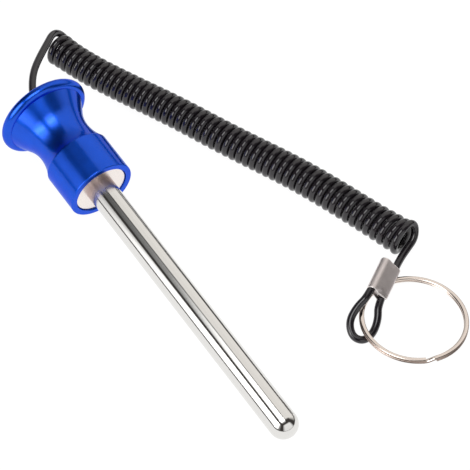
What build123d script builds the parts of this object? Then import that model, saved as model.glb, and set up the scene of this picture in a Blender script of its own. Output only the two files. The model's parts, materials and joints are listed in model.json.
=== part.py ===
from build123d import *

import os
from math import acos, asin, atan, atan2, cos, degrees, hypot, pi, radians, sin, tan

# A magnetic selector pin for a weight stack, lying on a table with its curly lanyard and split ring.
# All sizes are in millimetres. +X runs from the knob's head to the pin's tip, +Z is up and the table is z = 0.
# The origin is on the table under the middle of the knob and pin.
# The knob, pin and magnet are turned about one axis. A station on it is measured from the collar's end face,
# towards the head, so the pin's free length has negative stations.

# Pin
pin_radius = 4.75
pin_reach = 105.0
spigot_radius = 4.0
spigot_length = 22.0
spigot_chamfer = 0.6
press = 0.01  # how much a pressed fit bites, on the radius

# Magnet in the collar's end
magnet_radius = 9.1
magnet_thickness = 6.0
magnet_recess = 0.5
magnet_clearance = 0.14
magnet_edge = 0.25
magnet_hole_clearance = 0.1

# Knob
knob_length = 37.8
collar_radius = 11.25
collar_edge = 0.4
waist_radius = 9.36
head_to_waist = 15.6
lower_waist_curve = 17.0
upper_waist_curve = 13.0
bead_radius = 1.85
bead_ring_radius = 13.65
bead_corner_angle = 7.0  # where the flare meets the rolled rim, in degrees inside its widest section
crown_rise = 1.1  # of the domed head above the rolled rim

# Cord, its hole in the head and the stop on its end
cord_radius = 1.25
cord_hole_radius = 1.5
cord_hole_length = 3.3
cord_hole_flare = 0.9
stop_radius = 3.0
stop_length = 4.0
stop_clearance = 0.5
stop_chamfer = 0.4
cord_run_out = 3.2

# Curly stretch of the cord: the outside of its turns
coil_radius = 5.6
coil_end_round = 1.2

# Sleeve pressed flat round the two strands of the eye. It lies rolled about its length, one edge raised.
sleeve_length = 12.3
sleeve_wall = 0.3
sleeve_thickness = 3.7
sleeve_web = 1.8  # between the two strands
sleeve_centre = Vector(41.98, 55.88, 6.0)
sleeve_heading = -58.2
sleeve_roll = 43.0
upper_run_out = 3.2  # how far the strands run straight past the sleeve
lower_run_out = 2.3
strand_end = 1.0  # how far inside the sleeve the cord's cut end lies

# Split ring of two turns. It lies tilted, high over the cord and low on the far side, where it rests.
ring_outer_radius = 17.15
ring_band = 1.6
turn_thickness = 0.85
turn_gap = 0.06
turn_round = 0.38
ring_x = 57.7
ring_y = 56.3
ring_lean_x = -0.041
ring_lean_y = 0.089
split_angle = -25.0
ramp_angle = 21.0
ramp_sections = 5

# The knob and pin lie on two points, the rolled rim and the tip, which set how far the axis leans.
tip_station = pin_radius - pin_reach
bead_station = knob_length - crown_rise - bead_radius
waist_station = knob_length - head_to_waist
rest_span = bead_station - tip_station
rest_reach = hypot(rest_span, bead_ring_radius)
lean = atan(bead_ring_radius / rest_span) + asin((bead_radius - pin_radius) / rest_reach)
crown_radius = (bead_ring_radius**2 + crown_rise**2) / (2 * crown_rise)
head_reach = crown_radius - (crown_radius - knob_length) * cos(lean)
face_x = (head_reach + tip_station * cos(lean) - pin_radius) / 2
face_z = pin_radius - tip_station * sin(lean)
to_head = Vector(-cos(lean), 0, sin(lean))
collar_face = Vector(face_x, 0, face_z)
turning_axis = Axis(collar_face, to_head)
section_plane = Plane(origin=collar_face, x_dir=to_head, z_dir=(0, 1, 0))


def on_axis(station):
    """The plane across the turning axis at a station, facing the head."""
    return Plane(origin=collar_face + to_head * station, x_dir=(0, 1, 0), z_dir=to_head)


# Stations inside the knob
magnet_seat = magnet_recess + magnet_thickness
spigot_end = magnet_recess + spigot_length
stop_seat = knob_length - cord_hole_length
stop_station = stop_seat - stop_length

# Outline of the waist: one curve down from the collar, one up, and a straight flare that it meets at a tangent.
lower_turn = acos(1 - (collar_radius - waist_radius) / lower_waist_curve)
corner_x = bead_station - bead_radius * cos(radians(bead_corner_angle))
corner_y = bead_ring_radius - bead_radius * sin(radians(bead_corner_angle))
flare_x = corner_x - waist_station
flare_y = corner_y - waist_radius - upper_waist_curve
upper_turn = atan2(flare_y, flare_x) + asin(upper_waist_curve / hypot(flare_x, flare_y))

with BuildPart() as knob:
    with BuildSketch(section_plane):
        with BuildLine():
            end_face = Line((0, 0), (0, collar_radius - collar_edge))
            JernArc(end_face @ 1, (0, 1), collar_edge, -90)
            lower_waist = JernArc(
                (waist_station, waist_radius), (-1, 0), lower_waist_curve, -degrees(lower_turn)
            )
            Line((collar_edge, collar_radius), lower_waist @ 1)
            upper_waist = JernArc(
                (waist_station, waist_radius), (1, 0), upper_waist_curve, degrees(upper_turn)
            )
            Line(upper_waist @ 1, (corner_x, corner_y))
            CenterArc(
                (bead_station, bead_ring_radius),
                bead_radius,
                180 + bead_corner_angle,
                -180 - bead_corner_angle,
            )
            crown_turn = degrees(asin(bead_ring_radius / crown_radius))
            CenterArc((knob_length - crown_radius, 0), crown_radius, crown_turn, -crown_turn)
            Line((knob_length, 0), (0, 0))
        make_face()
    revolve(axis=turning_axis)
    # Bores from the collar's end: the magnet's seat, the spigot's bore and the stop's cavity
    with Locations(Plane(origin=collar_face, z_dir=-to_head)):
        Hole(magnet_radius + magnet_clearance, depth=magnet_seat)
        Hole(spigot_radius, depth=spigot_end)
        Hole(stop_radius + stop_clearance, depth=stop_seat)
    with Locations(on_axis(knob_length)):
        CounterSinkHole(cord_hole_radius, cord_hole_radius + cord_hole_flare, depth=cord_hole_length * 2)

with BuildPart() as pin:
    with BuildSketch(section_plane):
        with BuildLine():
            Polyline(
                (spigot_end, 0),
                (spigot_end, spigot_radius - spigot_chamfer),
                (spigot_end - spigot_chamfer, spigot_radius + press),
                (magnet_recess, spigot_radius + press),
                (magnet_recess, pin_radius),
                (tip_station, pin_radius),
            )
            CenterArc((tip_station, 0), pin_radius, 90, 90)
            Line((-pin_reach, 0), (spigot_end, 0))
        make_face()
    revolve(axis=turning_axis)

with BuildPart() as magnet_ring:
    with BuildSketch(on_axis(magnet_recess)):
        Circle(magnet_radius)
        Circle(spigot_radius + magnet_hole_clearance, mode=Mode.SUBTRACT)
    extrude(amount=magnet_thickness)
    chamfer(magnet_ring.edges().group_by(Edge.length)[-1], magnet_edge)

with BuildPart() as cord_stop:
    with BuildSketch(on_axis(stop_station)):
        Circle(stop_radius)
        Circle(cord_radius - press, mode=Mode.SUBTRACT)
    extrude(amount=stop_length)
    chamfer(cord_stop.edges().group_by(Edge.length)[-1], stop_chamfer)

# The sleeve's own frame: X across its two strands towards the lower one, Z along them towards the ring.
level_across = Vector(0, 1, 0).rotate(Axis.Z, sleeve_heading)
along_sleeve = Vector(1, 0, 0).rotate(Axis.Z, sleeve_heading)
across_sleeve = level_across * cos(radians(sleeve_roll)) - Vector(0, 0, sin(radians(sleeve_roll)))
sleeve_plane = Plane(origin=sleeve_centre, x_dir=across_sleeve, z_dir=along_sleeve)
strand_offset = sleeve_web / 2 + cord_radius
sleeve_width = 2 * (strand_offset + cord_radius + sleeve_wall)

with BuildPart() as crimp_sleeve:
    with BuildSketch(sleeve_plane):
        SlotOverall(sleeve_width, sleeve_thickness)
        with Locations((strand_offset, 0), (-strand_offset, 0)):
            Circle(cord_radius - press, mode=Mode.SUBTRACT)
    extrude(amount=sleeve_length / 2, both=True)


def in_sleeve(side, along):
    """A point on one strand's line through the sleeve: side 1 is the lower strand, along runs to the ring."""
    return sleeve_plane.from_local_coords((side * strand_offset, 0, along))


# The cord's route, chosen by hand outside the knob and the sleeve.
lead_points = [
    collar_face + to_head * stop_station,
    collar_face + to_head * (knob_length + cord_run_out),
    Vector(-80.5, 3.2, 16.0),
    Vector(-85.8, 7.0, 15.7),
    Vector(-90.8, 12.4, 14.7),
    Vector(-95.6, 18.3, 13.3),
    Vector(-99.0, 22.2, 12.1),
    Vector(-100.0, 25.0, 10.2),
    Vector(-97.4, 26.4, 6.6),
]
coil_points = [
    Vector(-98.4, 22.4, coil_radius),
    Vector(-84.6, 26.5, coil_radius),
    Vector(-67.9, 33.4, coil_radius),
    Vector(-51.5, 40.7, coil_radius),
    Vector(-31.8, 48.1, coil_radius),
    Vector(-9.8, 57.5, coil_radius),
    Vector(2.7, 61.8, coil_radius),
    Vector(15.0, 65.6, coil_radius),
    Vector(34.4, 71.3, coil_radius),
]
half_sleeve = sleeve_length / 2
tail_points = [
    Vector(29.4, 72.2, 10.2),
    Vector(32.2, 75.2, 8.9),
    Vector(34.8, 73.6, 6.4),
    Vector(36.3, 69.6, 5.0),
    in_sleeve(1, -half_sleeve - upper_run_out),
    in_sleeve(1, half_sleeve + lower_run_out),
    Vector(51.4, 47.1, 2.6),
    Vector(54.2, 43.0, 1.3),
    Vector(54.6, 38.9, 1.3),
    Vector(51.6, 36.9, 1.9),
    Vector(47.5, 38.6, 3.8),
    Vector(45.4, 43.2, 5.7),
    in_sleeve(-1, half_sleeve + lower_run_out),
    in_sleeve(-1, strand_end - half_sleeve),
]


def bend_radii(points):
    """The largest arc that each corner of a route leaves room for: 0.45 of its shorter run."""
    radii = []
    for before, corner, after in zip(points, points[1:], points[2:]):
        shorter_run = min((corner - before).length, (after - corner).length)
        turn = (corner - before).get_angle(after - corner)
        radii.append(0.45 * shorter_run / tan(radians(turn) / 2))
    return radii


def report_tube(name, points, path, section_radius, solid):
    """Prints a tube's bend radii, and its volume against its section times its length."""
    print(name, "radii", [round(radius, 1) for radius in bend_radii(points)])
    length = sum(edge.length for edge in path.edges())
    swept = pi * section_radius**2 * length
    print(name, "length", round(length, 1), "volume share", round(solid.volume / swept, 4))


with BuildPart() as cord_lead:
    with BuildLine() as lead_path:
        FilletPolyline(*lead_points, radius=bend_radii(lead_points))
    with BuildSketch(Plane(origin=lead_path.line @ 0, z_dir=lead_path.line % 0)):
        Circle(cord_radius)
    sweep()
report_tube("cord_lead", lead_points, lead_path.line, cord_radius, cord_lead.part)

with BuildPart() as cord_coil:
    with BuildLine() as coil_path:
        FilletPolyline(*coil_points, radius=bend_radii(coil_points))
    with BuildSketch(Plane(origin=coil_path.line @ 0, z_dir=coil_path.line % 0)):
        Circle(coil_radius)
    sweep()
    report_tube("cord_coil", coil_points, coil_path.line, coil_radius, cord_coil.part)
    end_faces = cord_coil.faces().filter_by(GeomType.PLANE)
    fillet(end_faces.edges(), coil_end_round)

with BuildPart() as cord_tail:
    with BuildLine() as tail_path:
        FilletPolyline(*tail_points, radius=bend_radii(tail_points))
    with BuildSketch(Plane(origin=tail_path.line @ 0, z_dir=tail_path.line % 0)):
        Circle(cord_radius)
    sweep()
report_tube("cord_tail", tail_points, tail_path.line, cord_radius, cord_tail.part)

# The ring's own frame, with Z square to its tilted turns. Its low side touches the table.
ring_normal = Vector(ring_lean_x, ring_lean_y, 1).normalized()
ring_tilt = acos(ring_normal.Z)
half_ring = turn_thickness + turn_gap / 2
ring_z = ring_outer_radius * sin(ring_tilt) + half_ring * cos(ring_tilt)
ring_plane = Plane(origin=(ring_x, ring_y, ring_z), x_dir=(ring_normal.Z, 0, -ring_normal.X), z_dir=ring_normal)
ring_axis = Axis(ring_plane.origin, ring_plane.z_dir)
turn_height = (turn_thickness + turn_gap) / 2
turn_arc = 360 - ramp_angle


def ring_section(angle, height):
    """The plane of the wire's section at an angle round the ring, centred in the wire."""
    outwards = ring_plane.x_dir.rotate(Axis((0, 0, 0), ring_plane.z_dir), angle)
    across = outwards.cross(ring_plane.z_dir)
    centre = ring_plane.origin + outwards * (ring_outer_radius - ring_band / 2) + ring_plane.z_dir * height
    return Plane(origin=centre, x_dir=outwards, z_dir=across)


with BuildPart() as split_ring:
    # Lower turn, from beside the ramp's top round to its foot
    with BuildSketch(ring_section(split_angle + ramp_angle, -turn_height)):
        RectangleRounded(ring_band, turn_thickness, turn_round)
    revolve(axis=ring_axis, revolution_arc=turn_arc)
    # Upper turn, from the ramp's top round to its free end over the ramp's foot
    with BuildSketch(ring_section(split_angle + ramp_angle, turn_height)):
        RectangleRounded(ring_band, turn_thickness, turn_round)
    revolve(axis=ring_axis, revolution_arc=turn_arc)
    # Ramp between the two
    for step in range(ramp_sections):
        share = step / (ramp_sections - 1)
        ramp_height = -turn_height * cos(pi * share)
        with BuildSketch(ring_section(split_angle + ramp_angle * share, ramp_height)):
            RectangleRounded(ring_band, turn_thickness, turn_round)
    loft()

named_parts = {
    "knob": knob,
    "pin": pin,
    "magnet_ring": magnet_ring,
    "cord_stop": cord_stop,
    "cord_lead": cord_lead,
    "cord_coil": cord_coil,
    "cord_tail": cord_tail,
    "crimp_sleeve": crimp_sleeve,
    "split_ring": split_ring,
}
os.makedirs("parts", exist_ok=True)
for name, piece in named_parts.items():
    piece.part.label = name
    export_step(piece.part, f"parts/{name}.step")
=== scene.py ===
import json
import math

import bpy
from mathutils import Matrix, Vector


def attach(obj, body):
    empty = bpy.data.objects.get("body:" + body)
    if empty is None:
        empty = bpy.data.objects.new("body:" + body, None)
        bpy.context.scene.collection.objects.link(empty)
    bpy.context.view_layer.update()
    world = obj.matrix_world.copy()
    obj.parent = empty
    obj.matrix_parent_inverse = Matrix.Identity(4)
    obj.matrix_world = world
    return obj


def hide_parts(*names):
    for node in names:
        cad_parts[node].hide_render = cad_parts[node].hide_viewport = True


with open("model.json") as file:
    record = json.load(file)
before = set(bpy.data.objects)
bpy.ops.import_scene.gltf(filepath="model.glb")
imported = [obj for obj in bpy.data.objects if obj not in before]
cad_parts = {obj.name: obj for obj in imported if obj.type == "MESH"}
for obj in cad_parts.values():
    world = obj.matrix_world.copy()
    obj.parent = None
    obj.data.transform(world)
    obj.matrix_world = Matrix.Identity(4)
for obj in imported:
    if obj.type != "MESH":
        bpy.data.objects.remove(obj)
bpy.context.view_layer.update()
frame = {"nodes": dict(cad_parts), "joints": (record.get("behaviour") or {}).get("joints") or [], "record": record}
mm = 0.001
up = Vector((0, 0, 1))
print("frame loaded:", len(frame["nodes"]), "nodes")

# The knob, pin and magnet are turned about one axis. A station on it is measured from the collar's end face
# towards the head.
pinMount = next(mount for mount in frame["record"]["mounts"] if mount["name"] == "pin")
toTip = Vector(pinMount["axis"]).normalized()
toHead = -toTip
collarFace = Vector(pinMount["pos_m"]) - toTip * pinMount["dims"]["length_mm"] * mm / 2

ringJoint = next(joint for joint in frame["joints"] if joint["name"] == "ring_turn")
ringCentre = Vector(ringJoint["pos_m"])
ringNormal = Vector(ringJoint["axis"]).normalized()


# Shader maths

class Amount:  # what one node gives, for Python's own operators to work on
    def __init__(self, finish, socket):
        self.finish = finish
        self.socket = socket

    def maths(self, operation, first, second):
        return self.finish.node("ShaderNodeMath", {"operation": operation}, {0: first, 1: second})

    def __add__(self, other):
        return self.maths("ADD", self, other)

    def __radd__(self, other):
        return self.maths("ADD", other, self)

    def __sub__(self, other):
        return self.maths("SUBTRACT", self, other)

    def __rsub__(self, other):
        return self.maths("SUBTRACT", other, self)

    def __mul__(self, other):
        return self.maths("MULTIPLY", self, other)

    def __rmul__(self, other):
        return self.maths("MULTIPLY", other, self)

    def __abs__(self):
        return self.finish.node("ShaderNodeMath", {"operation": "ABSOLUTE"}, {0: self})


def setStops(ramp, stops):
    while len(ramp.elements) < len(stops):
        ramp.elements.new(1.0)
    for element, (place, colour) in zip(ramp.elements, stops):
        element.position = place
        element.color = colour


class Finish:  # one node tree, filled by one method
    def __init__(self, tree):
        self.tree = tree
        self.tree.nodes.clear()

    def node(self, kind, settings, sockets, output=0):
        made = self.tree.nodes.new(kind)
        for name, value in settings.items():
            if name == "stops":
                setStops(made.color_ramp, value)
            else:
                setattr(made, name, value)
        for name, value in sockets.items():
            if isinstance(value, Amount):
                self.tree.links.new(value.socket, made.inputs[name])
            else:
                made.inputs[name].default_value = value
        return Amount(self, made.outputs[output]) if made.outputs else None


def newFinish(name):
    material = bpy.data.materials.new(name)
    material.use_nodes = True
    return material, Finish(material.node_tree)


def objectPlace(finish):
    return finish.node("ShaderNodeTexCoord", {}, {}, "Object")


def noise(finish, place, scale, detail, stretch=(1.0, 1.0, 1.0)):
    mapped = finish.node("ShaderNodeMapping", {}, {"Vector": place, "Scale": stretch})
    return finish.node("ShaderNodeTexNoise", {}, {"Vector": mapped, "Scale": scale, "Detail": detail})


def turningMarks(finish, station, scale, detail):  # noise along the axis alone, so it rings the piece
    sockets = {"W": station, "Scale": scale, "Detail": detail}
    return finish.node("ShaderNodeTexNoise", {"noise_dimensions": "1D"}, sockets)


def bump(finish, height, strength, distance):
    return finish.node("ShaderNodeBump", {}, {"Height": height, "Strength": strength, "Distance": distance})


def mixColours(finish, share, first, second):  # its colour sockets are 6 and 7, and its result 2
    return finish.node("ShaderNodeMix", {"data_type": "RGBA"}, {0: share, 6: first, 7: second}, 2)


def between(finish, value, low, high):  # 0 up to low, and 1 from high on
    return finish.node("ShaderNodeMapRange", {}, {"Value": value, "From Min": low, "From Max": high})


def larger(first, second):
    return first.maths("MAXIMUM", first, second)


def distanceAlong(finish, place, start, direction):  # metres from a start point
    sockets = {0: place, 1: tuple(direction)}
    along = finish.node("ShaderNodeVectorMath", {"operation": "DOT_PRODUCT"}, sockets, "Value")
    return along - Vector(start).dot(direction)


def distanceFrom(finish, place, centre):
    sockets = {0: place, 1: tuple(centre)}
    return finish.node("ShaderNodeVectorMath", {"operation": "DISTANCE"}, sockets, "Value")


def roughness(shares, *amounts):  # the smoothest value, and then what each amount adds to it
    total = shares[0]
    for share, amount in zip(shares[1:], amounts):
        total = total + amount * share
    return total


def surface(finish, sockets):
    shader = finish.node("ShaderNodeBsdfPrincipled", {}, sockets)
    finish.node("ShaderNodeOutputMaterial", {}, {"Surface": shader})


def metal(finish, sockets):
    surface(finish, {"Metallic": 1.0, **sockets})


# Modelling helpers

sharpAngle = 35.0  # degrees: an edge that folds more than this stays sharp
lathe = {
    "holdDistance": 0.25 * mm,  # a ring this near each end of a long straight keeps its shine straight
    "longStraight": 1.0 * mm,
    "smallestRing": 0.001 * mm,  # stands for a ring on the axis until its points are merged
    "mergeDistance": 0.002 * mm,
}


def deselectAll():
    if bpy.context.object and bpy.context.object.mode != "OBJECT":
        bpy.ops.object.mode_set(mode="OBJECT")
    bpy.ops.object.select_all(action="DESELECT")


def selectOnly(piece):
    deselectAll()
    piece.select_set(True)
    bpy.context.view_layer.objects.active = piece


def planeAt(centre, across, outward):  # a place whose x runs across and whose z runs outward
    turned = Matrix((across, outward.cross(across), outward)).transposed().to_4x4()
    return Matrix.Translation(centre) @ turned


def settlePiece(piece, place):  # shades the piece and puts it in place, with its object left at the origin
    selectOnly(piece)
    bpy.ops.object.shade_smooth_by_angle(angle=math.radians(sharpAngle))
    piece.matrix_world = place @ piece.matrix_world
    bpy.ops.object.transform_apply(location=True, rotation=True, scale=True)


def arcPoints(station, radius, size, start, stop, steps):  # an arc about a station and radius, in degrees
    points = []
    for step in range(steps + 1):
        angle = math.radians(start + (stop - start) * step / steps)
        points.append((station + size * math.cos(angle), radius + size * math.sin(angle)))
    return points


def withHoldingRings(outline):
    held = [outline[0]]
    for before, after in zip(outline, outline[1:]):
        span = math.dist(before, after)
        if span > lathe["longStraight"]:
            for share in (lathe["holdDistance"] / span, 1 - lathe["holdDistance"] / span):
                held.append(tuple(near + (far - near) * share for near, far in zip(before, after)))
        held.append(after)
    return held


def turnOnLathe(name, outline, sides):  # an outline of stations and radii, drawn out ring by ring
    deselectAll()
    startStation, startRadius = outline[0]
    bpy.ops.mesh.primitive_circle_add(vertices=sides, radius=startRadius, location=(0, 0, startStation))
    piece = bpy.context.object
    piece.name = name
    bpy.ops.object.mode_set(mode="EDIT")
    bpy.ops.mesh.select_all(action="SELECT")
    for (station, radius), (nextStation, nextRadius) in zip(outline, outline[1:]):
        rise = (0, 0, nextStation - station)
        bpy.ops.mesh.extrude_region_move(TRANSFORM_OT_translate={"value": rise})
        growth = max(nextRadius, lathe["smallestRing"]) / radius
        bpy.ops.transform.resize(value=(growth, growth, 1), center_override=(0, 0, nextStation))
    if outline[-1][1] == 0:  # an outline that ends on the axis is closed there, and its start gets a face
        bpy.ops.mesh.merge(type="CENTER")
        bpy.ops.mesh.select_all(action="DESELECT")
        bpy.ops.mesh.select_non_manifold()
        bpy.ops.mesh.edge_face_add()
    bpy.ops.mesh.select_all(action="SELECT")
    bpy.ops.mesh.remove_doubles(threshold=lathe["mergeDistance"])
    bpy.ops.mesh.normals_make_consistent(inside=False)
    bpy.ops.object.mode_set(mode="OBJECT")
    settlePiece(piece, planeAt(collarFace, Vector((0, 1, 0)), toHead))
    return piece


def dress(piece, material, body, slot, *nodes):
    piece.data.materials.clear()
    piece.data.materials.append(material)
    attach(piece, body)
    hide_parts(*nodes)


# Camera

cameraValues = {
    "place": (348.62 * mm, -212.89 * mm, 579.95 * mm),
    "target": (-2.31 * mm, 30.12 * mm, 0.0),
    "lens": 171.8,  # in millimetres, as the sensor's width is
    "sensor": 36.0,
    "clipStart": 0.01,
}


def makeCamera(values):
    camera = bpy.data.objects.new("camera", bpy.data.cameras.new("camera"))
    bpy.context.scene.collection.objects.link(camera)
    camera.data.lens = values["lens"]
    camera.data.sensor_width = values["sensor"]
    camera.data.clip_start = values["clipStart"]
    camera.location = values["place"]
    towards = Vector(values["target"]) - Vector(values["place"])
    camera.rotation_mode = "QUATERNION"
    camera.rotation_quaternion = towards.to_track_quat("-Z", "Y")
    bpy.context.scene.camera = camera


makeCamera(cameraValues)
print("camera placed")

# Cord: from the knob's head, through the curly stretch, to the eye that the sleeve holds shut

cordValues = {
    "radius": 1.25 * mm,
    "length": 1.58,  # metres, with its turns pulled straight
    "exit": (-71.05 * mm, 0.0, 15.69 * mm),
    "lead": [  # points in millimetres
        (-63.77, 0.0, 15.11),
        (-74.24, 0.0, 15.94),
        (-80.5, 3.2, 16.0),
        (-85.8, 7.0, 15.7),
        (-90.8, 12.4, 14.7),
        (-95.6, 18.3, 13.3),
        (-99.0, 22.2, 12.1),
        (-100.0, 25.0, 10.2),
    ],
    "coilAxis": [  # as seen from above, because each turn sets its own height
        (-98.4, 22.4, 5.6),
        (-84.6, 26.5, 5.6),
        (-67.9, 33.4, 5.6),
        (-51.5, 40.7, 5.6),
        (-31.8, 48.1, 5.6),
        (-9.8, 57.5, 5.6),
        (2.7, 61.8, 5.6),
        (15.0, 65.6, 5.6),
        (34.4, 71.3, 5.6),
    ],
    "tail": [
        (31.7, 74.0, 10.6),
        (32.2, 75.8, 8.5),
        (34.8, 73.8, 6.0),
        (36.3, 69.6, 5.0),
        (38.39, 64.66, 4.53),
        (47.77, 49.53, 4.53),
        (51.4, 47.1, 2.6),
        (54.2, 43.0, 1.3),
        (54.6, 38.9, 1.3),
        (51.6, 36.9, 1.9),
        (47.5, 38.6, 3.8),
        (45.4, 43.2, 5.7),
        (45.10, 47.87, 7.47),
        (37.93, 59.43, 7.47),
    ],
    "stations": [  # turns from the knob's end, and millimetres along the coil's axis
        (0.0, 0.85),
        (6.5, 17.2),
        (7.9, 21.2),
        (17.9, 46.7),
        (27.9, 73.6),
        (37.9, 99.6),
        (47.9, 126.6),
        (51.4, 136.5),
        (52.4, 139.6),
        (52.8, 139.9),
    ],
    "helixRadius": (4.14 * mm, 4.48 * mm),  # at the knob's end and at the far end, before they swell
    "endSwell": (0.3 * mm, 0.35 * mm),  # how much wider the first and last turns are
    "swellTurns": (1.5, 3.0),
    "startLift": 0.7 * mm,  # the lead lifts the first turns off the table and draws their tops its own way
    "startLean": 0.6 * mm,
    "liftTurns": 3.2,
    "startAngle": 165.0,  # degrees: 0 is the near side, 90 the top and 180 the far side
    "pointsPerTurn": 12,
    "axisSteps": 24,  # straight steps between two points of a smooth line
    "cordSteps": 7,
    "roundSteps": 6,
    "smear": (60.0, 2.0),  # a noise has a scale and a detail
    "grain": (900.0, 3.0),
    "colours": ((0.010, 0.008, 0.0105, 1), (0.016, 0.013, 0.0165, 1)),
    "roughness": (0.04, 0.05),  # at its smoothest, and what the smear adds
    "refraction": 1.57,
    "bump": (0.06, 0.02 * mm),  # a bump has a strength and a height
}


def toMetres(points):
    return [Vector(point) * mm for point in points]


def nurbsCurve(name, points, steps):
    curve = bpy.data.curves.new(name, "CURVE")
    curve.dimensions = "3D"
    spline = curve.splines.new("NURBS")
    spline.points.add(len(points) - 1)
    for knot, point in zip(spline.points, points):
        knot.co = (*point, 1.0)
    spline.order_u = 3
    spline.use_endpoint_u = True
    spline.resolution_u = steps
    curve.resolution_u = steps
    piece = bpy.data.objects.new(name, curve)
    bpy.context.scene.collection.objects.link(piece)
    return piece


def readLine(curve):  # the points that a curve's own smooth line follows
    mesh = bpy.data.meshes.new_from_object(curve)
    line = [vertex.co.copy() for vertex in mesh.vertices]
    bpy.data.meshes.remove(mesh)
    return line


def pointAlong(line, reach):  # where a line is at a distance from its start, and which way it runs there
    passed = 0.0
    for before, after in zip(line, line[1:]):
        span = (after - before).length
        if passed + span >= reach:
            break
        passed += span
    return before.lerp(after, (reach - passed) / span), (after - before).normalized()


def stationAt(values, turn):  # how far along the coil's axis a turn lies
    for (before, near), (after, far) in zip(values["stations"], values["stations"][1:]):
        if turn <= after:
            return (near + (far - near) * (turn - before) / (after - before)) * mm
    return values["stations"][-1][1] * mm


def turnRadius(values, turn, turns):
    first, last = values["helixRadius"]
    radius = first + (last - first) * turn / turns
    for fromEnd, swell, spread in zip((turn, turns - turn), values["endSwell"], values["swellTurns"]):
        radius += swell * math.exp(-((fromEnd / spread) ** 2))
    return radius


def helixPoints(values, axisLine):
    turns = values["stations"][-1][0]
    count = round(turns * values["pointsPerTurn"])
    opening = 1 / math.cos(math.pi / values["pointsPerTurn"])  # the spline cuts inside its points
    points = []
    for number in range(count + 1):
        turn = turns * number / count
        centre, forward = pointAlong(axisLine, stationAt(values, turn))
        radius = turnRadius(values, turn, turns)
        pull = math.exp(-((turn / values["liftTurns"]) ** 2))
        angle = math.radians(values["startAngle"] + 360 * turn)
        centre.z = radius + values["radius"] + values["startLift"] * pull
        centre -= forward * values["startLean"] * math.sin(angle) * pull
        out = up * math.sin(angle) - up.cross(forward) * math.cos(angle)
        points.append(centre + out * radius * opening)
    return points


def makeCord(values):
    axis = nurbsCurve("coilAxis", toMetres(values["coilAxis"]), values["axisSteps"])
    turns = helixPoints(values, readLine(axis))
    bpy.data.objects.remove(axis)
    route = toMetres(values["lead"]) + turns + toMetres(values["tail"])
    cord = nurbsCurve("cord", route, values["cordSteps"])
    line = readLine(cord)
    length = sum((after - before).length for before, after in zip(line, line[1:]))
    lowest = min(point.z for point in line) - values["radius"]
    print("cord drawn:", round(length, 4), "m long,", round(lowest / mm, 2), "mm off the table")
    cord.data.bevel_depth = values["radius"]
    cord.data.bevel_resolution = values["roundSteps"]
    cord.data.use_fill_caps = True
    return cord


def cordFinish(values):
    material, finish = newFinish("cordBlack")
    place = objectPlace(finish)
    smear = noise(finish, place, *values["smear"])
    grain = noise(finish, place, *values["grain"])
    surface(finish, {
        "Base Color": mixColours(finish, smear, *values["colours"]),
        "Roughness": roughness(values["roughness"], smear),
        "IOR": values["refraction"],
        "Normal": bump(finish, grain, *values["bump"]),
    })
    return material


cord = makeCord(cordValues)
dress(cord, cordFinish(cordValues), "lanyard_pin", "cord_black", "cord_lead", "cord_coil", "cord_tail")
print("cord laid")

# Knob

knobValues = {
    "length": 37.8 * mm,
    "collarRadius": 11.25 * mm,
    "collarEdge": 0.4 * mm,
    "waistRadius": 9.36 * mm,
    "waistStation": 22.2 * mm,
    "lowerWaistCurve": 17.0 * mm,
    "upperWaistCurve": 13.0 * mm,
    "beadRadius": 1.85 * mm,
    "beadRingRadius": 13.65 * mm,
    "beadCorner": 7.0,  # degrees
    "crownRise": 1.1 * mm,
    "magnetSeat": 6.5 * mm,
    "magnetBore": 9.24 * mm,
    "boreEdge": 0.12 * mm,
    "spigotBore": 4.0 * mm,
    "spigotEnd": 22.5 * mm,
    "stopCavity": 3.5 * mm,
    "stopSeat": 34.5 * mm,
    "cordHole": 1.5 * mm,
    "holeFlare": 0.9 * mm,
    "sides": 160,
    "edgeSteps": 6,
    "waistSteps": 14,
    "beadSteps": 22,
    "crownSteps": 10,
    "mottle": (260.0, 2.0),
    "marks": (5200.0, 3.0),
    "colours": ((0.006, 0.078, 0.60, 1), (0.010, 0.100, 0.74, 1)),
    "grazing": (0.25, 0.42, 0.9, 1),  # the tint of the shine at a slant
    "roughness": (0.25, 0.06, 0.06),  # at its smoothest, then what the mottle and the marks add
    "coat": 0.35,
    "coatRoughness": 0.1,
    "bump": (0.12, 0.02 * mm),
}


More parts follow.
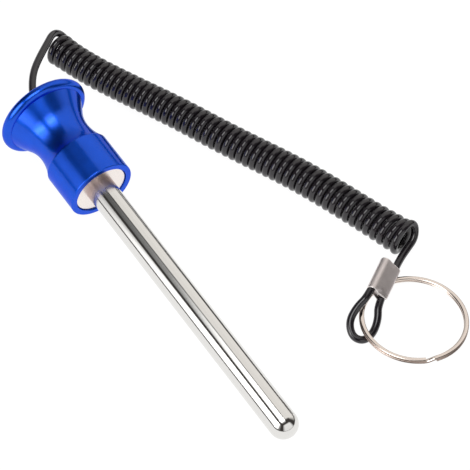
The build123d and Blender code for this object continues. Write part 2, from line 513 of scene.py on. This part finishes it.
def knobOutline(values):
    length = values["length"]
    collar = values["collarRadius"]
    edge = values["collarEdge"]
    waist = values["waistStation"]
    neck = values["waistRadius"]
    lower = values["lowerWaistCurve"]
    upper = values["upperWaistCurve"]
    bead = values["beadRadius"]
    beadRing = values["beadRingRadius"]
    beadStation = length - values["crownRise"] - bead
    lowerTurn = math.degrees(math.acos(1 - (collar - neck) / lower))
    corner = math.radians(values["beadCorner"])
    flareX = beadStation - bead * math.cos(corner) - waist
    flareY = beadRing - bead * math.sin(corner) - neck - upper
    upperTurn = math.degrees(math.atan2(flareY, flareX) + math.asin(upper / math.hypot(flareX, flareY)))
    crown = (beadRing ** 2 + values["crownRise"] ** 2) / (2 * values["crownRise"])
    crownTurn = math.degrees(math.asin(beadRing / crown))
    holeTurn = math.degrees(math.asin((values["cordHole"] + values["holeFlare"]) / crown))
    outline = [
        (values["magnetSeat"], values["magnetBore"]),
        (values["boreEdge"], values["magnetBore"]),
        (0.0, values["magnetBore"] + values["boreEdge"]),
    ]
    outline += arcPoints(edge, collar - edge, edge, 180, 90, values["edgeSteps"])
    outline += arcPoints(waist, neck + lower, lower, 270 - lowerTurn, 270, values["waistSteps"])
    outline += arcPoints(waist, neck + upper, upper, 270, 270 + upperTurn, values["waistSteps"])[1:]
    outline += arcPoints(beadStation, beadRing, bead, 180 + values["beadCorner"], 0, values["beadSteps"])
    outline += arcPoints(length - crown, 0.0, crown, crownTurn, holeTurn, values["crownSteps"])[1:]
    outline += [
        (length - values["holeFlare"], values["cordHole"]),
        (values["stopSeat"], values["cordHole"]),
        (values["stopSeat"], values["stopCavity"]),
        (values["spigotEnd"], values["stopCavity"]),
        (values["spigotEnd"], values["spigotBore"]),
        (values["magnetSeat"], values["spigotBore"]),
        (values["magnetSeat"], values["magnetBore"]),
    ]
    return withHoldingRings(outline)


def anodisedFinish(values):
    material, finish = newFinish("anodisedBlue")
    place = objectPlace(finish)
    mottle = noise(finish, place, *values["mottle"])
    marks = turningMarks(finish, distanceAlong(finish, place, collarFace, toHead), *values["marks"])
    metal(finish, {
        "Base Color": mixColours(finish, mottle, *values["colours"]),
        "Roughness": roughness(values["roughness"], mottle, marks),
        "Specular Tint": values["grazing"],
        "Coat Weight": values["coat"],
        "Coat Roughness": values["coatRoughness"],
        "Normal": bump(finish, marks, *values["bump"]),
    })
    return material


knob = turnOnLathe("knob_body", knobOutline(knobValues), knobValues["sides"])
dress(knob, anodisedFinish(knobValues), "lanyard_pin", "anodised_blue", "knob")
print("knob turned")

# Pin

pinValues = {
    "radius": 4.75 * mm,
    "reach": 105.0 * mm,
    "shoulder": 0.5 * mm,
    "spigotRadius": 4.01 * mm,
    "spigotEnd": 22.5 * mm,
    "spigotChamfer": 0.6 * mm,
    "sides": 144,
    "tipSteps": 24,
    "rootShade": (1.8 * mm, 5.6 * mm),  # painted shade: full nearer the collar's face than the first, none past the second
    "rootShadeEdge": (300.0, 2.0),
    "rootShadeWander": 1.0 * mm,
    "grain": (1500.0, 3.0),
    "colours": ((0.745, 0.735, 0.715, 1), (0.56, 0.46, 0.45, 1)),  # clean, and darkened by the painted shade near the collar
    "roughness": (0.05, 0.08, 0.26),  # at its smoothest, then what the grain and the painted shade's zone add
    "bump": (0.12, 0.02 * mm),
}


def pinOutline(values):
    outline = [
        (values["spigotEnd"], values["spigotRadius"] - values["spigotChamfer"]),
        (values["spigotEnd"] - values["spigotChamfer"], values["spigotRadius"]),
        (values["shoulder"], values["spigotRadius"]),
        (values["shoulder"], values["radius"]),
    ]
    tip = values["radius"] - values["reach"]
    outline += arcPoints(tip, 0.0, values["radius"], 90, 180, values["tipSteps"])
    outline[-1] = (-values["reach"], 0)
    return withHoldingRings(outline)


def steelFinish(values):
    material, finish = newFinish("brightSteel")
    place = objectPlace(finish)
    # painted shade: the pin is darker, browner and duller towards the collar's face
    wander = noise(finish, place, *values["rootShadeEdge"]) * values["rootShadeWander"]
    fromCollar = distanceAlong(finish, place, collarFace, toTip) + wander
    rootShaded = 1 - between(finish, fromCollar, *values["rootShade"])
    grain = noise(finish, place, *values["grain"])
    metal(finish, {
        "Base Color": mixColours(finish, rootShaded, *values["colours"]),
        "Roughness": roughness(values["roughness"], grain, rootShaded),
        "Normal": bump(finish, grain, *values["bump"]),
    })
    return material


pin = turnOnLathe("pin_rod", pinOutline(pinValues), pinValues["sides"])
dress(pin, steelFinish(pinValues), "lanyard_pin", "bright_steel", "pin")
print("pin turned")

# Magnet

magnetValues = {
    "radius": 9.1 * mm,
    "hole": 4.1 * mm,
    "front": 0.5 * mm,
    "thickness": 6.0 * mm,
    "edge": 0.25 * mm,
    "sides": 144,
    "edgeSteps": 5,
    "haze": (500.0, 2.0),
    "colour": (0.88, 0.82, 0.79, 1),
    "grazing": (0.9, 0.85, 0.8, 1),
    "roughness": (0.2, 0.08),
}


def magnetOutline(values):
    front = values["front"]
    back = front + values["thickness"]
    edge = values["edge"]
    middleOfEdge = values["radius"] - edge
    outline = [(front, values["hole"])]
    outline += arcPoints(front + edge, middleOfEdge, edge, 180, 90, values["edgeSteps"])
    outline += arcPoints(back - edge, middleOfEdge, edge, 90, 0, values["edgeSteps"])
    outline += [(back, values["hole"]), (front, values["hole"])]
    return withHoldingRings(outline)


def nickelFinish(values):
    material, finish = newFinish("magnetNickel")
    haze = noise(finish, objectPlace(finish), *values["haze"])
    metal(finish, {
        "Base Color": values["colour"],
        "Specular Tint": values["grazing"],
        "Roughness": roughness(values["roughness"], haze),
    })
    return material


magnet = turnOnLathe("magnet_disc", magnetOutline(magnetValues), magnetValues["sides"])
dress(magnet, nickelFinish(magnetValues), "lanyard_pin", "magnet_nickel", "magnet_ring")
print("magnet seated")

# Split ring

ringValues = {
    "outerRadius": 17.15 * mm,
    "band": 1.6 * mm,
    "thickness": 0.85 * mm,
    "gap": 0.06 * mm,
    "splitAngle": -25.0,  # degrees
    "rampAngle": 12.0,
    "pointsPerTurn": 90,
    "wireSteps": 3,
    "sectionPoints": 12,
    "sectionSteps": 4,
    "rimShade": (0.34 * mm, 0.04 * mm),  # painted shade: none this far in from the rim, and full this far in
    "underTarnish": (1.0, 0.62),  # painted shade: full and none, as shares of the wire's thickness below the ring's middle
    "haze": (500.0, 2.0),
    "colours": ((0.78, 0.69, 0.63, 1), (0.28, 0.21, 0.18, 1)),  # plated, and darkened by painted shade
    "roughness": (0.06, 0.08, 0.34),  # at its smoothest, then what the haze and the painted shade add
}


def wirePoints(values):  # two turns, each level, with a short ramp between them beside the wire's ends
    ramp = values["rampAngle"]
    middle = values["outerRadius"] - values["band"] / 2
    rise = (values["thickness"] + values["gap"]) / 2
    arc = 720 - ramp
    count = round(arc / 360 * values["pointsPerTurn"])
    points = []
    for number in range(count + 1):
        travel = arc * number / count
        climb = (travel - (360 - ramp)) / ramp
        height = -rise * math.cos(math.pi * min(max(climb, 0), 1))
        angle = math.radians(values["splitAngle"] + ramp + travel)
        points.append(Vector((middle * math.cos(angle), middle * math.sin(angle), height)))
    return points


def sectionPoints(values):  # an oval, the wire's band wide and its thickness high
    points = []
    for number in range(values["sectionPoints"]):
        angle = math.tau * number / values["sectionPoints"]
        points.append(Vector((
            values["band"] / 2 * math.cos(angle),
            values["thickness"] / 2 * math.sin(angle),
            0,
        )))
    return points


def makeRing(values):
    section = nurbsCurve("ringSection", sectionPoints(values), values["sectionSteps"])
    section.data.splines[0].use_cyclic_u = True
    ring = nurbsCurve("ring_wire", wirePoints(values), values["wireSteps"])
    ring.data.twist_mode = "Z_UP"
    ring.data.bevel_mode = "OBJECT"
    ring.data.bevel_object = section
    ring.data.use_fill_caps = True
    selectOnly(ring)
    bpy.ops.object.convert(target="MESH")
    bpy.data.objects.remove(section)
    side = Vector((ringNormal.z, 0, -ringNormal.x)).normalized()
    settlePiece(ring, planeAt(ringCentre, side, ringNormal))
    return ring


def ringFinish(values):  # painted shade darkens the plating along the wire's underside and on the rim
    material, finish = newFinish("ringNickel")
    place = objectPlace(finish)
    rimStart, rimFull = (values["outerRadius"] - inward for inward in values["rimShade"])
    underFull, underStart = (-values["thickness"] * share for share in values["underTarnish"])
    rim = between(finish, distanceFrom(finish, place, ringCentre), rimStart, rimFull)
    level = distanceAlong(finish, place, ringCentre, ringNormal)
    under = 1 - between(finish, level, underFull, underStart)
    # painted shade: the wire is darker and browner low down and at the rim
    paintedShade = larger(rim, under)
    haze = noise(finish, place, *values["haze"])
    metal(finish, {
        "Base Color": mixColours(finish, paintedShade, *values["colours"]),
        "Roughness": roughness(values["roughness"], haze, paintedShade),
    })
    return material


ring = makeRing(ringValues)
dress(ring, ringFinish(ringValues), "ring", "ring_nickel", "split_ring")
print("split ring wound")

# Sleeve pressed round the cord's two strands

sleeveValues = {
    "length": 12.3 * mm,
    "width": 7.4 * mm,
    "thickness": 3.7 * mm,
    "wall": 0.4 * mm,
    "mouth": 0.7 * mm,
    "squareEdge": 1.0 * mm,
    "squareSteps": 8,
    "roundEdge": 1.8 * mm,
    "roundSteps": 12,
    "rimBevel": 0.13 * mm,
    "rimSteps": 3,
    "centre": (41.98 * mm, 55.88 * mm, 6.0 * mm),
    "heading": -58.2,  # degrees
    "roll": 43.0,
    "waistDepths": (0.12 * mm, 0.4 * mm),  # how far each mouth's walls are pressed in between the strands
    "pressStart": 0.55 * mm,  # what lies this near the middle of a mouth's wall goes in with it
    "pressReach": 1.4 * mm,
    "cutsAcross": (-0.9 * mm, -0.45 * mm, 0.0, 0.45 * mm, 0.9 * mm),  # cuts that let the walls bend
    "cutsFromMouth": (0.5 * mm, 1.0 * mm, 1.5 * mm, 2.0 * mm, 2.6 * mm),
    "slack": 0.01 * mm,  # an edge or face lies this near to the side or end that it belongs to
    "squareOn": 0.9,  # a mouth's face points out of it by this share at least
    "edgeHighlight": (0.4 * mm, 0.15 * mm),  # painted highlight on the mouths' edges: begins this far from each mouth, and is full this far from it
    "highlightColour": (0.93, 0.88, 0.86, 1),
    "mottle": (420.0, 3.0),
    "scratches": (160.0, 4.0, (1.0, 9.0, 3.0)),
    "colours": ((0.62, 0.56, 0.55, 1), (0.72, 0.66, 0.65, 1)),
    "roughness": (0.30, 0.10, 0.10),  # at its smoothest, then what the mottle and the scratches add
    "bump": (0.1, 0.02 * mm),
}
bothEnds = (-1, 1)


def sleevePlane(values):  # x runs across both strands, and z along them
    heading = math.radians(values["heading"])
    roll = math.radians(values["roll"])
    along = Vector((math.cos(heading), math.sin(heading), 0))
    level = Vector((-math.sin(heading), math.cos(heading), 0))
    return planeAt(values["centre"], level * math.cos(roll) - up * math.sin(roll), along)


def selectEdges(piece, chosen):
    bpy.ops.object.mode_set(mode="OBJECT")
    for polygon in piece.data.polygons:
        polygon.select = False
    for vertex in piece.data.vertices:
        vertex.select = False
    for edge in piece.data.edges:
        edge.select = chosen(*[piece.data.vertices[index].co for index in edge.vertices])
    bpy.ops.object.mode_set(mode="EDIT")
    bpy.ops.mesh.select_mode(type="EDGE")


def selectMouth(piece, values, end):  # the flat faces at one end
    outermost = values["length"] / 2 - values["slack"]
    bpy.ops.object.mode_set(mode="EDIT")
    bpy.ops.mesh.select_mode(type="FACE")
    bpy.ops.mesh.select_all(action="DESELECT")
    bpy.ops.object.mode_set(mode="OBJECT")
    for polygon in piece.data.polygons:
        facesOut = polygon.normal.z * end > values["squareOn"]
        polygon.select = facesOut and polygon.center.z * end > outermost
    bpy.ops.object.mode_set(mode="EDIT")


def roundLongEdges(sleeve, values, side, size, steps):
    outermost = values["width"] / 2 - values["slack"]
    halfLength = values["length"] / 2  # only a long edge spans more
    selectEdges(sleeve, lambda one, other: (
        min(one.x * side, other.x * side) > outermost and abs(one.z - other.z) > halfLength
    ))
    bpy.ops.mesh.bevel(offset=size, segments=steps, affect="EDGES")


def cutThrough(place, normal):
    bpy.ops.mesh.select_all(action="SELECT")
    bpy.ops.mesh.bisect(plane_co=place, plane_no=normal)


def pressWalls(sleeve, values, end, depth):
    for side in (-1, 1):
        mouth = Vector((0, side * values["thickness"] / 2, end * values["length"] / 2))
        selectEdges(sleeve, lambda one, other: (
            max((one - mouth).length, (other - mouth).length) < values["pressStart"]
        ))
        bpy.ops.transform.translate(
            value=(0, -side * depth, 0),
            use_proportional_edit=True,
            proportional_edit_falloff="SMOOTH",
            proportional_size=values["pressReach"],
        )


def makeSleeve(values):
    deselectAll()
    bpy.ops.mesh.primitive_cube_add(size=1)
    sleeve = bpy.context.object
    sleeve.name = "sleeve_shell"
    sleeve.scale = (values["width"], values["thickness"], values["length"])
    bpy.ops.object.transform_apply(location=True, rotation=True, scale=True)
    roundLongEdges(sleeve, values, 1, values["squareEdge"], values["squareSteps"])
    roundLongEdges(sleeve, values, -1, values["roundEdge"], values["roundSteps"])
    for end in bothEnds:
        selectMouth(sleeve, values, end)
        bpy.ops.mesh.inset(thickness=values["wall"], depth=0)
        inward = (0, 0, -end * values["mouth"])
        bpy.ops.mesh.extrude_region_move(TRANSFORM_OT_translate={"value": inward})
    for end in bothEnds:
        selectMouth(sleeve, values, end)
        bpy.ops.mesh.region_to_loop()
        bpy.ops.mesh.bevel(offset=values["rimBevel"], segments=values["rimSteps"], affect="EDGES")
    for across in values["cutsAcross"]:
        cutThrough((across, 0, 0), (1, 0, 0))
    for end in bothEnds:
        for fromMouth in values["cutsFromMouth"]:
            cutThrough((0, 0, end * (values["length"] / 2 - fromMouth)), (0, 0, 1))
    for end, depth in zip(bothEnds, values["waistDepths"]):
        pressWalls(sleeve, values, end, depth)
    bpy.ops.object.mode_set(mode="OBJECT")
    settlePiece(sleeve, sleevePlane(values))
    return sleeve


def sleeveFinish(values):
    material, finish = newFinish("sleeveMetal")
    place = objectPlace(finish)
    along = sleevePlane(values).col[2].to_3d()
    fromMiddle = abs(distanceAlong(finish, place, values["centre"], along))
    # painted highlight: the colour lightens towards each mouth's edge
    highlightStart, highlightFull = (values["length"] / 2 - inward for inward in values["edgeHighlight"])
    highlight = between(finish, fromMiddle, highlightStart, highlightFull)
    mottle = noise(finish, place, *values["mottle"])
    scratches = noise(finish, place, *values["scratches"])
    worn = mixColours(finish, mottle, *values["colours"])
    metal(finish, {
        "Base Color": mixColours(finish, highlight, worn, values["highlightColour"]),
        "Roughness": roughness(values["roughness"], mottle, scratches),
        "Normal": bump(finish, scratches, *values["bump"]),
    })
    return material


sleeve = makeSleeve(sleeveValues)
dress(sleeve, sleeveFinish(sleeveValues), "lanyard_pin", "sleeve_metal", "crimp_sleeve")
print("sleeve pressed")

# Brass stop on the cord's end, inside the head

stopValues = {
    "colour": (0.75, 0.58, 0.28, 1),
    "haze": (500.0, 2.0),
    "roughness": (0.25, 0.1),
}


def brassFinish(values):
    material, finish = newFinish("stopBrass")
    haze = noise(finish, objectPlace(finish), *values["haze"])
    metal(finish, {"Base Color": values["colour"], "Roughness": roughness(values["roughness"], haze)})
    return material


stop = frame["nodes"]["cord_stop"]
stop.data.materials.clear()
stop.data.materials.append(brassFinish(stopValues))
print("stop finished")

# Studio: a white floor and soft panels on all sides, a light tent with dark seams between them. A panel is
# a plane of a width and a height, and its glow is a level times one soft ramp across it times one up it.

studioValues = {
    "floorSize": 1.15,
    "floorColour": (0.10, 0.10, 0.10, 1),
    "floorRoughness": 0.9,
    "floorGlow": 0.96,
    "glowColour": (1, 1, 1, 1),
    "surround": (0.055, 0.05, 0.047, 1),
    "backdrop": (1.0, 1.0, 1.0, 1),
}
panels = {
    "overheadBox": {
        "place": (-90 * mm, -125 * mm, 600 * mm),
        "turn": (0, 0, 0),
        "size": (860 * mm, 430 * mm),
        "level": 7.0,
        "tint": (1.0, 1.0, 1.0, 1),
        "across": [
            (0.0, 0.01), (0.28, 0.018), (0.36, 0.05), (0.38, 0.1), (0.42, 0.22), (0.48, 0.34),
            (0.53, 0.36), (0.57, 0.8), (0.66, 0.8), (0.70, 0.36), (0.80, 0.36), (0.92, 0.04),
        ],
        "up": [(0.0, 0.0), (0.04, 0.05), (0.19, 1.0), (0.90, 1.0), (0.98, 0.03)],
    },
    "frontBox": {
        "place": (-60 * mm, -500 * mm, 335 * mm),
        "turn": (90, 0, 0),
        "size": (900 * mm, 510 * mm),
        "level": 7.0,
        "tint": (1.0, 1.0, 1.0, 1),
        "across": [
            (0.0, 0.01), (0.10, 0.02), (0.18, 0.09), (0.235, 0.12), (0.28, 0.2), (0.36, 0.34),
            (0.47, 0.36), (0.51, 0.8), (0.60, 0.8), (0.64, 0.36), (0.74, 0.34), (0.9, 0.04),
        ],
        "up": [(0.0, 0.6), (0.08, 0.9), (0.5, 1.0), (0.93, 1.0), (1.0, 0.1)],
    },
    "backCeiling": {
        "place": (-260 * mm, 320 * mm, 600 * mm),
        "turn": (0, 0, 0),
        "size": (880 * mm, 420 * mm),
        "level": 0.98,
        "tint": (1.0, 0.975, 0.94, 1),
        "across": [(0.0, 0.9), (0.86, 1.0), (1.0, 0.1)],
        "up": [(0.0, 0.25), (0.04, 0.85), (0.12, 1.0)],
    },
    "backWall": {
        "place": (-200 * mm, 530 * mm, 345 * mm),
        "turn": (90, 0, 0),
        "size": (1000 * mm, 510 * mm),
        "level": 0.98,
        "tint": (1.0, 0.975, 0.94, 1),
        "across": [(0.0, 1.0), (0.78, 1.0), (1.0, 0.1)],
        "up": [(0.0, 0.9), (0.1, 1.0), (1.0, 1.0)],
    },
    "leftWall": {
        "place": (-640 * mm, 150 * mm, 370 * mm),
        "turn": (90, 0, 90),
        "size": (800 * mm, 460 * mm),
        "level": 0.9,
        "tint": (1.0, 0.99, 0.97, 1),
        "across": [(0.0, 0.0), (0.15, 0.1), (0.42, 0.7), (1.0, 1.0)],
        "up": [(0.0, 1.0), (0.6, 0.8), (1.0, 0.7)],
    },
    "rightWall": {
        "place": (520 * mm, 60 * mm, 310 * mm),
        "turn": (90, 0, 90),
        "size": (760 * mm, 580 * mm),
        "level": 1.05,
        "tint": (1.0, 1.0, 1.0, 1),
        "across": [(0.0, 0.3), (0.2, 1.0), (0.8, 1.0), (1.0, 0.1)],
        "up": [(0.0, 0.9), (0.8, 1.0), (1.0, 0.4)],
    },
}


def makeFloor(values):
    deselectAll()
    bpy.ops.mesh.primitive_plane_add(size=values["floorSize"])
    floor = bpy.context.object
    floor.name = "floor"
    material, finish = newFinish("floorWhite")
    surface(finish, {
        "Base Color": values["floorColour"],
        "Roughness": values["floorRoughness"],
        "Specular IOR Level": 0.0,
        "Emission Color": values["glowColour"],
        "Emission Strength": values["floorGlow"],
    })
    floor.data.materials.append(material)


def softRamp(finish, place, direction, stops):  # shares of the glow, from one edge of a panel to the other
    along = finish.node("ShaderNodeSeparateXYZ", {}, {"Vector": place}, direction)
    colours = [(where, (share, share, share, 1)) for where, share in stops]
    return finish.node("ShaderNodeValToRGB", {"stops": colours}, {"Fac": along + 0.5})


def makePanel(name, values):
    deselectAll()
    bpy.ops.mesh.primitive_plane_add(size=1)
    panel = bpy.context.object
    panel.name = name
    panel.scale = (*values["size"], 1)
    panel.rotation_euler = [math.radians(angle) for angle in values["turn"]]
    panel.location = values["place"]
    panel.visible_camera = False
    material, finish = newFinish(name)
    place = objectPlace(finish)
    across = softRamp(finish, place, "X", values["across"])
    strength = across * softRamp(finish, place, "Y", values["up"]) * values["level"]
    glow = finish.node("ShaderNodeEmission", {}, {"Color": values["tint"], "Strength": strength})
    finish.node("ShaderNodeOutputMaterial", {}, {"Surface": glow})
    panel.data.materials.append(material)


def makeWorld(values):
    world = bpy.data.worlds.new("studio")
    bpy.context.scene.world = world
    world.use_nodes = True
    finish = Finish(world.node_tree)
    seen = finish.node("ShaderNodeLightPath", {}, {}, "Is Camera Ray")
    dim = finish.node("ShaderNodeBackground", {}, {"Color": values["surround"]})
    plain = finish.node("ShaderNodeBackground", {}, {"Color": values["backdrop"]})
    both = finish.node("ShaderNodeMixShader", {}, {0: seen, 1: dim, 2: plain})
    finish.node("ShaderNodeOutputWorld", {}, {"Surface": both})
    bpy.context.scene.view_settings.view_transform = "Standard"


makeFloor(studioValues)
for panelName, panelValues in panels.items():
    makePanel(panelName, panelValues)
makeWorld(studioValues)
print("studio lit")
